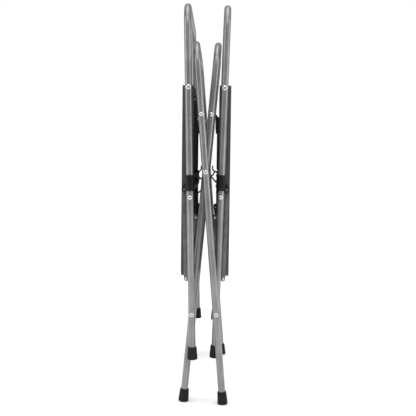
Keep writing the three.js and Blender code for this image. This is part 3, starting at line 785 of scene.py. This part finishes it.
# ---- Trays ----
def tray_shell(lug_x, lug_z):
    """Moulded tray that hangs from its pivot: dished outside, ribbed and open underneath, with stay lugs."""
    height = TRAY_TOP - TRAY_BOTTOM
    middle = (TRAY_OUTER, 0, (TRAY_TOP + TRAY_BOTTOM) / 2)
    sideways = (0, -math.pi / 2, 0)
    tray = add(bpy.ops.mesh.primitive_plane_add, size=1, location=middle, rotation=sideways)
    bpy.ops.transform.resize(value=(1, 2 * TRAY_HALF_WIDTH, height), center_override=middle)
    pick(tray, "VERT", lambda at, way: at.z < middle[2])
    bpy.ops.mesh.bevel(offset=TRAY_CORNER, segments=10, affect="VERTICES")
    pick(tray, "VERT", lambda at, way: at.z > TRAY_TOP - 1)
    bpy.ops.mesh.bevel(offset=TRAY_TOP_CORNER, affect="VERTICES")
    pick(tray, "FACE", lambda at, way: True)
    draw_out(TRAY_UNDERSIDE - TRAY_OUTER, 0, 0)
    face_out(tray)
    pick(tray, "FACE", lambda at, way: way.x < -0.9)
    pinch = TRAY_TOP_CORNER / math.sqrt(2) / math.tan(math.pi / 8)  # where the cut corners come to a point
    bpy.ops.mesh.inset(thickness=pinch - 0.02)
    bpy.ops.mesh.remove_doubles(threshold=0.5)
    bpy.ops.mesh.inset(thickness=TRAY_RIM - 1.5 - pinch)
    bpy.ops.mesh.inset(thickness=1.5, depth=-TRAY_DISH)
    pick(tray, "FACE", lambda at, way: way.x > 0.9)
    floor = TRAY_OUTER + TRAY_DISH + TRAY_WALL
    bpy.ops.mesh.inset(thickness=TRAY_WALL)
    draw_out(floor + RIB_HEIGHT - TRAY_UNDERSIDE, 0, 0)
    inside = TRAY_HALF_WIDTH - TRAY_WALL

    def rib_plane(faces_at, point, normal):
        pick(tray, "FACE", faces_at)
        bpy.ops.mesh.bisect(plane_co=point, plane_no=normal)

    def web(at, way):
        return way.x > 0.9 and abs(at.x - floor - RIB_HEIGHT) < 0.01

    for column in range(1, RIB_COLUMNS):
        rib_plane(web, (0, -inside + 2 * inside * column / RIB_COLUMNS, 0), (0, 1, 0))
    for row in range(1, RIB_ROWS):
        rib_plane(web, (0, 0, TRAY_TOP - height * row / RIB_ROWS), (0, 0, 1))
    pick(tray, "FACE", web)
    bpy.ops.mesh.inset(thickness=RIB_HALF_WIDTH, use_individual=True)
    bpy.ops.mesh.inset(thickness=0.2, depth=-RIB_HEIGHT, use_individual=True)
    bpy.ops.object.mode_set(mode="OBJECT")
    for way_out in (-1, 1):
        ends = sorted((way_out * TRAY_HALF_WIDTH, way_out * (TRAY_HALF_WIDTH - 2 * TRAY_WALL)))
        low = (0, ends[0], lug_z - LUG_HALF_HEIGHT)
        lug = block(low, (lug_x + LUG_PAST_JOINT, ends[1], lug_z + LUG_HALF_HEIGHT))
        pick(lug, "EDGE", lambda at, way: abs(way.y) > 0.9 and at.x > lug_x)
        bpy.ops.mesh.bevel(offset=6, segments=6, affect="EDGES")
        bpy.ops.object.mode_set(mode="OBJECT")
        combine(tray, lug, "UNION")
    for middle_y in (-SPINE_FROM_MIDDLE, SPINE_FROM_MIDDLE):
        for low_z, high_z in SPINE_SPANS:  # the gap between them clears the latch bar
            low = (floor + 1, middle_y - SPINE_HALF_WIDTH, low_z)
            spine = block(low, (SPINE_DEPTH, middle_y + SPINE_HALF_WIDTH, high_z))
            pick(spine, "EDGE", lambda at, way: abs(way.y) > 0.9 and at.x > SPINE_DEPTH - 0.1)
            bpy.ops.mesh.bevel(offset=5, segments=1, affect="EDGES")
            bpy.ops.object.mode_set(mode="OBJECT")
            combine(tray, spine, "UNION")
    return round_off(tray, TRAY_PLASTIC, 0.5, 2)


def tray_stop():
    """Moulded block under the tray, which comes to rest by the spreader rod when all is folded."""
    face = TRAY_UNDERSIDE + 0.3
    low = (face, -TRAY_HALF_WIDTH, REST_BOTTOM)
    stop = block(low, (REST_REACH, -TRAY_HALF_WIDTH + REST_DEPTH, REST_TOP))
    slope = Vector((-9, 0, REST_REACH - 2 - face)).normalized()
    corner = (REST_REACH - 2, 0, REST_TOP)
    bpy.ops.mesh.bisect(plane_co=corner, plane_no=slope, use_fill=True, clear_outer=True)
    return round_off(stop, NYLON, 1.2, 3)


def fit_trays():
    for side, inboard in INBOARD.items():
        place = beside(TRAY_PIVOT[side], TRAY_PIVOT[side] + Vector((0, 0, 1)), inboard)
        body = side + "_tray"
        lug = place.inverted() @ STAY_JOINT[side] / MM
        tray = tray_shell(lug.x, lug.z)
        fit(tray, side + "_tray_panel", place, body, "tray_plastic", side + "_tray")
        stop = tray_stop()
        fit_pair(stop, side + "_tray_stop", place, body, "black_nylon", side + "_tray_rest")
        put_away(tray, stop)


# ---- Folding stays ----
def stay_bar(length):
    """Flat bar with round ends that hangs down from its pivot at the origin, 0 to its thickness along +Y."""
    middle = (0, 0, -length / 2)
    upright = (math.pi / 2, 0, 0)
    bar = add(bpy.ops.mesh.primitive_plane_add, size=1, location=middle, rotation=upright)
    bpy.ops.transform.resize(value=(STAY_WIDTH, 1, length + STAY_WIDTH), center_override=middle)
    bpy.ops.mesh.bevel(offset=STAY_WIDTH / 2, segments=8, affect="VERTICES")
    bpy.ops.mesh.remove_doubles(threshold=0.01)
    draw_out(0, STAY_THICKNESS, 0)
    face_out(bar)
    return round_off(bar, STAY_STEEL, 0.5, 2)


def fit_stays():
    ear_front = COLLAR_BACK + EAR_THICKNESS
    lower_back = LOWER_STAY_LAYER - STAY_THICKNESS
    upper_back = UPPER_STAY_LAYER - STAY_THICKNESS
    grip = ear_front - lower_back
    pivot = domed_rivet(STAY_HEAD_RADIUS - 0.8, 1.2, STAY_PIN_RADIUS, grip, STAY_HEAD_RADIUS, 1.6, STAY_STEEL)
    knee_head = domed_rivet(STAY_HEAD_RADIUS, 1.9, STAY_PIN_RADIUS, STAY_THICKNESS)
    tray_end = domed_rivet(STAY_HEAD_RADIUS - 1.2, 0.1, STAY_PIN_RADIUS, 10, STAY_HEAD_RADIUS, 1.6)
    tail = washer(STAY_HEAD_RADIUS, 0.6, 1.3, ZINC)
    for side, inboard in INBOARD.items():
        knee = knee_of(side)
        hinge, joint = STAY_PIVOT[side], STAY_JOINT[side]
        lower = beside(hinge, 2 * hinge - knee, inboard)
        upper = beside(joint, 2 * joint - knee, inboard)
        lower_length = (hinge - knee).length / MM
        upper_length = (joint - knee).length / MM
        low_bar, high_bar = stay_bar(lower_length), stay_bar(upper_length)
        for end, mirror in ENDS.items():
            lower_body, upper_body = side + "_lower_stay", side + "_upper_stay"
            spot = spot_at(lower @ mirror, 0, LOWER_STAY_LAYER, 0)
            name = f"{side}_lower_bar_{end}"
            fit(low_bar, name, spot, lower_body, "stay_steel", f"{lower_body}_{end}")
            spot = spot_at(upper @ mirror, 0, UPPER_STAY_LAYER, 0)
            name = f"{side}_upper_bar_{end}"
            fit(high_bar, name, spot, upper_body, "stay_steel", f"{upper_body}_{end}")
            spot = spot_at(lower @ mirror, 0, ear_front, 0)
            node = f"{side}_stay_pivot_{end}"
            fit(pivot, f"{side}_stay_rivet_{end}", spot, side + "_frame", "stay_steel", node)
            spot = spot_at(lower @ mirror, 0, LOWER_STAY_LAYER, -lower_length)
            node = f"{side}_knee_rivet_{end}"
            fit(knee_head, f"{side}_knee_stud_{end}", spot, lower_body, "zinc_rivet", node)
            spot = spot_at(upper @ mirror, 0, upper_back, -upper_length)
            fit(tail, f"{side}_knee_tail_{end}", spot, upper_body, "zinc_rivet")
            spot = spot_at(upper @ mirror, 0, UPPER_STAY_LAYER, 0)
            node = f"{side}_stay_joint_{end}"
            fit(tray_end, f"{side}_tray_rivet_{end}", spot, side + "_tray", "zinc_rivet", node)
        put_away(low_bar, high_bar)
    put_away(pivot, knee_head, tray_end, tail)


# ---- Studio ----
def studio_camera():
    data = bpy.data.cameras.new("studio_camera")
    data.lens = 62.66
    camera = bpy.data.objects.new("studio_camera", data)
    bpy.context.collection.objects.link(camera)
    tilt, turn, roll = math.radians(4.5), math.radians(-0.668), math.radians(0.72)
    aim = Matrix.Rotation(-turn, 4, "Z") @ Matrix.Rotation(math.pi / 2 - tilt, 4, "X")
    aim = aim @ Matrix.Rotation(roll, 4, "Z")
    camera.matrix_world = Matrix.Translation((0.02525, -1.83428, 0.58019)) @ aim
    bpy.context.scene.camera = camera


def softbox(name, place, target, width, height, power):
    data = bpy.data.lights.new(name, "AREA")
    data.shape = "RECTANGLE"
    data.size = width
    data.size_y = height
    data.energy = power
    light = bpy.data.objects.new(name, data)
    bpy.context.collection.objects.link(light)
    way = Vector(target) - Vector(place)
    light.matrix_world = Matrix.Translation(place) @ way.to_track_quat("-Z", "Y").to_matrix().to_4x4()
    light.visible_camera = False


def backdrop(name, size, place, turn, colour):
    """A large flat sheet of matt paper."""
    if bpy.context.mode != "OBJECT":
        bpy.ops.object.mode_set(mode="OBJECT")
    bpy.ops.object.select_all(action="DESELECT")
    bpy.ops.mesh.primitive_plane_add(size=1, location=place, rotation=turn)
    sheet = bpy.context.object
    sheet.name = name
    sheet.scale = (*size, 1)
    bpy.ops.object.transform_apply(location=True, rotation=True, scale=True)
    paper = bpy.data.materials.new(name + "_paper")
    paper.use_nodes = True
    shader = paper.node_tree.nodes["Principled BSDF"]
    shader.inputs["Base Color"].default_value = linear(colour)
    shader.inputs["Roughness"].default_value = 0.9
    sheet.data.materials.append(paper)
    return sheet


def studio():
    """White floor and surroundings, a dark card that streaks the metal, softboxes and a ceiling light."""
    backdrop("studio_floor", (30, 30), (0, 0, 0), (0, 0, 0), "#fbfbfb")
    card = backdrop("dark_card", (5, 0.55), (0, -2.7, 0.55), (math.pi / 2, 0, 0), "#161616")
    card.visible_camera = False  # like the softboxes, it shows only in what it does to the metal
    world = bpy.data.worlds.new("studio")
    world.use_nodes = True
    tree = world.node_tree
    tree.nodes.clear()
    seen = put(tree, "LightPath").outputs["Is Camera Ray"]
    strength = put(tree, "MapRange", {"Value": seen, "To Min": 0.5, "To Max": 1.0}).outputs["Result"]
    sky = put(tree, "Background", {"Color": (1, 1, 1, 1), "Strength": strength})
    put(tree, "OutputWorld", {"Surface": sky.outputs["Background"]})
    bpy.context.scene.world = world
    middle = (0, 0, 0.45)
    softbox("left_softbox", (-2.1, -0.8, 1.15), middle, 1.6, 1.9, 18)
    softbox("right_softbox", (2.1, -0.8, 1.15), middle, 1.6, 1.9, 18)
    softbox("top_softbox", (0, -1.6, 2.1), middle, 1.8, 1.0, 12)
    ceiling = bpy.data.lights.new("ceiling_light", "SUN")  # soft light straight down, for an even white floor
    ceiling.energy = 1.85
    ceiling.angle = math.radians(60)
    lamp = bpy.data.objects.new("ceiling_light", ceiling)
    bpy.context.collection.objects.link(lamp)
    bpy.context.scene.view_settings.view_transform = "Standard"


studio_camera()
fit_hoops()
fit_feet()
fit_pins()
fit_rods()
fit_side_rivets()
fit_latches()
fit_trays()
fit_stays()
studio()
